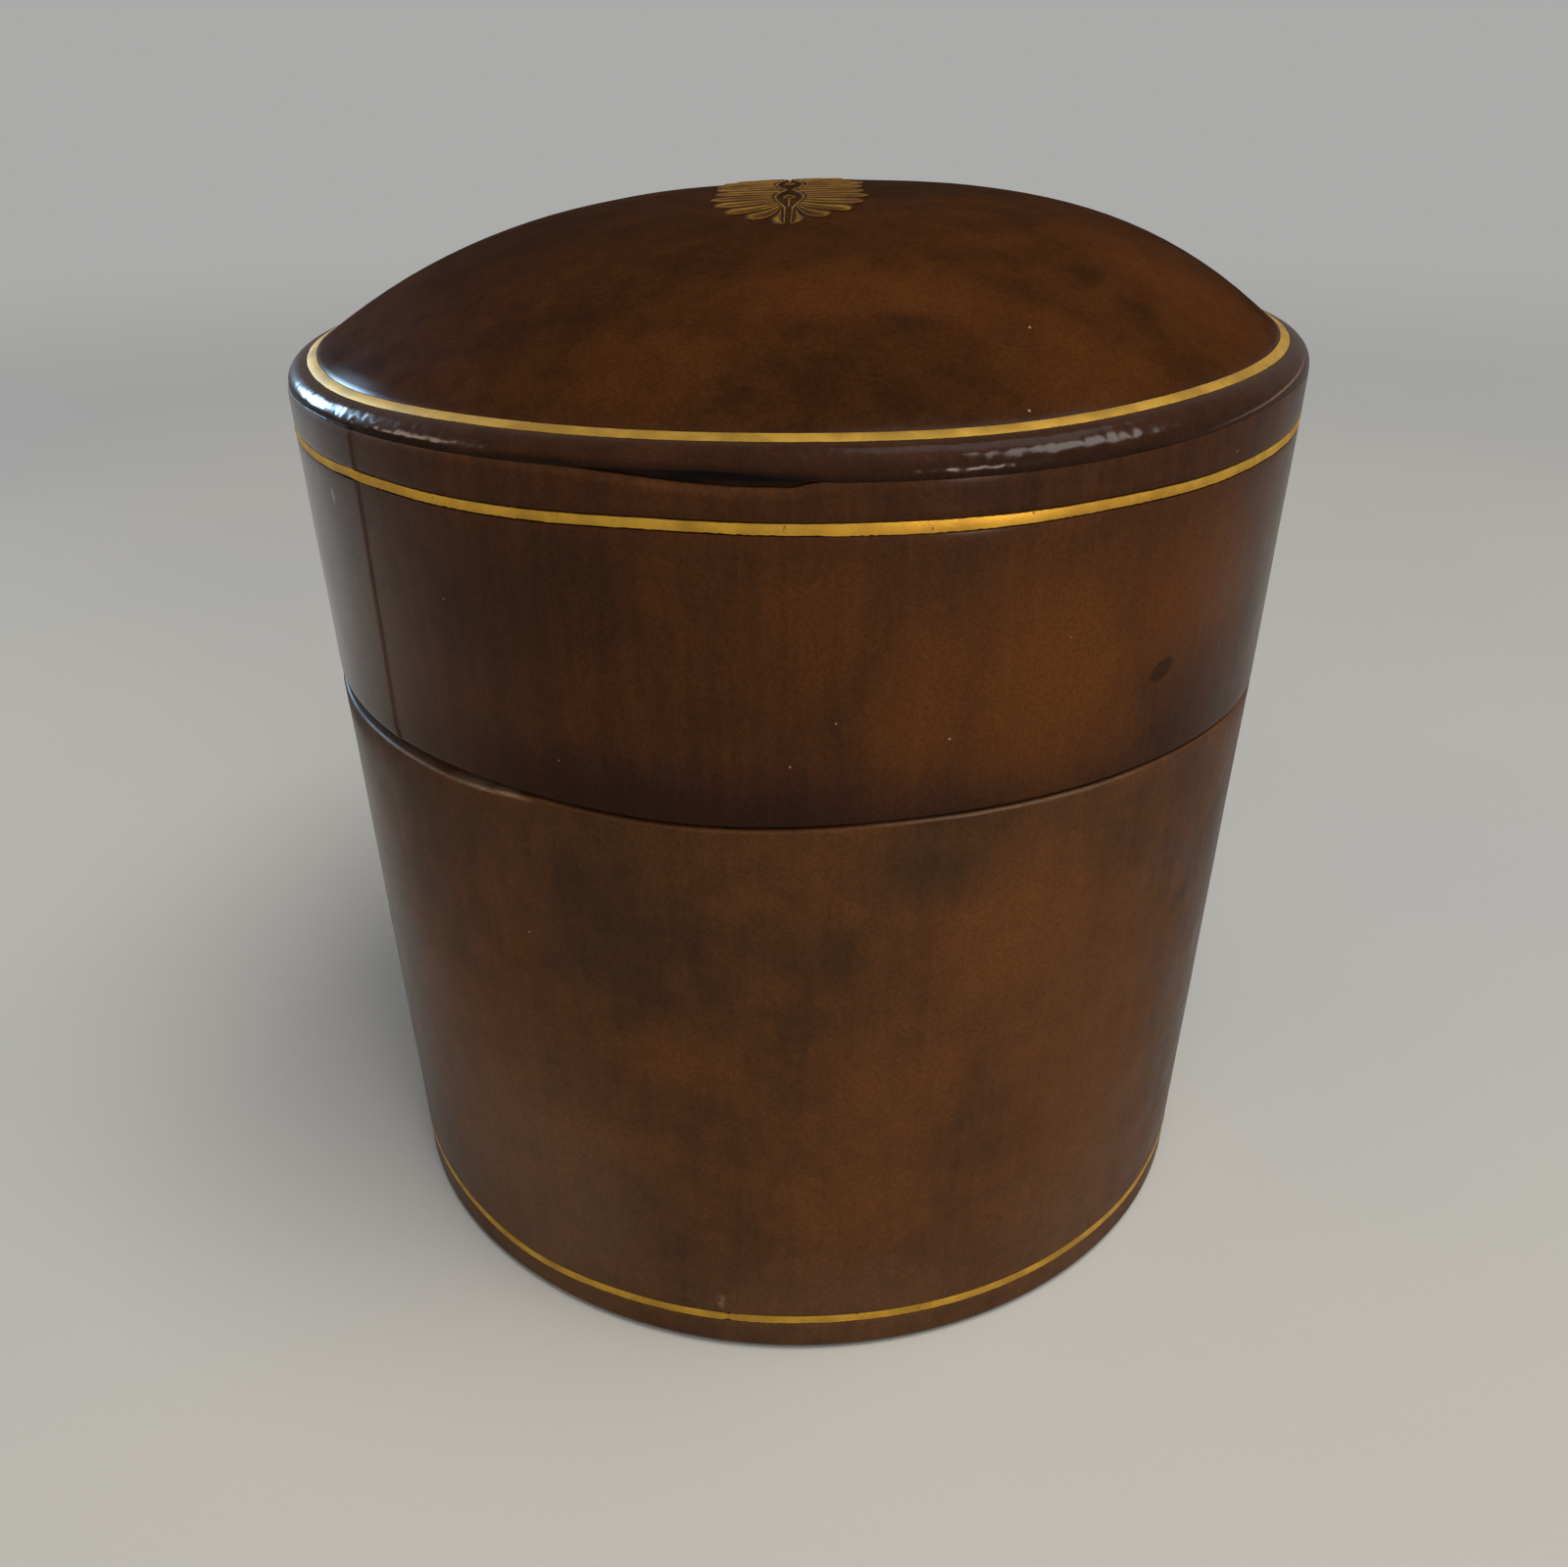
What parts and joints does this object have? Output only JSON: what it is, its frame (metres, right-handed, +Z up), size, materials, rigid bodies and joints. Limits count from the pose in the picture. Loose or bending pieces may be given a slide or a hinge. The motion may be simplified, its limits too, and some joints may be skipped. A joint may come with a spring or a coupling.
{
  "type": "leather jewelry box",
  "caption": "Round leather-covered jewelry box that narrows to its foot, with a tall domed lid that lifts off over an inner neck.",
  "frame": {"origin": "middle of the underside, on the surface the box stands on", "axes": "+Z up along the box's axis, -Y towards the front as pictured"},
  "size_m": [0.13, 0.1304, 0.1396],
  "materials": {
    "brown_leather": "polished mottled brown",
    "gilt": "gold leaf tooling",
    "board": "bare turned wood",
    "neck": "dark leather over a thin hoop",
    "suede": "brushed suede cloth",
    "underside": "rough dark leather"
  },
  "bodies": {
    "body": {"underside_disc": "underside", "base_board": "board", "body_wall": "board", "body_leather": "brown_leather", "neck_hoop": "neck", "body_lining": "suede", "floor_pad": "suede", "gilt_line_foot": "gilt"},
    "lid": {"dome_board": "board", "lid_wall": "board", "cap_leather": "brown_leather", "skirt_leather": "brown_leather", "lid_lining": "suede", "ceiling_pad": "suede", "gilt_line_skirt": "gilt", "gilt_line_dome": "gilt", "gilt_ornament": "gilt"}
  },
  "joints": [
    {"name": "lid_lift", "type": "slide", "parent": "body", "child": "lid", "axis": [0, 0, 1], "range_m": [0, 0.06]}
  ]
}
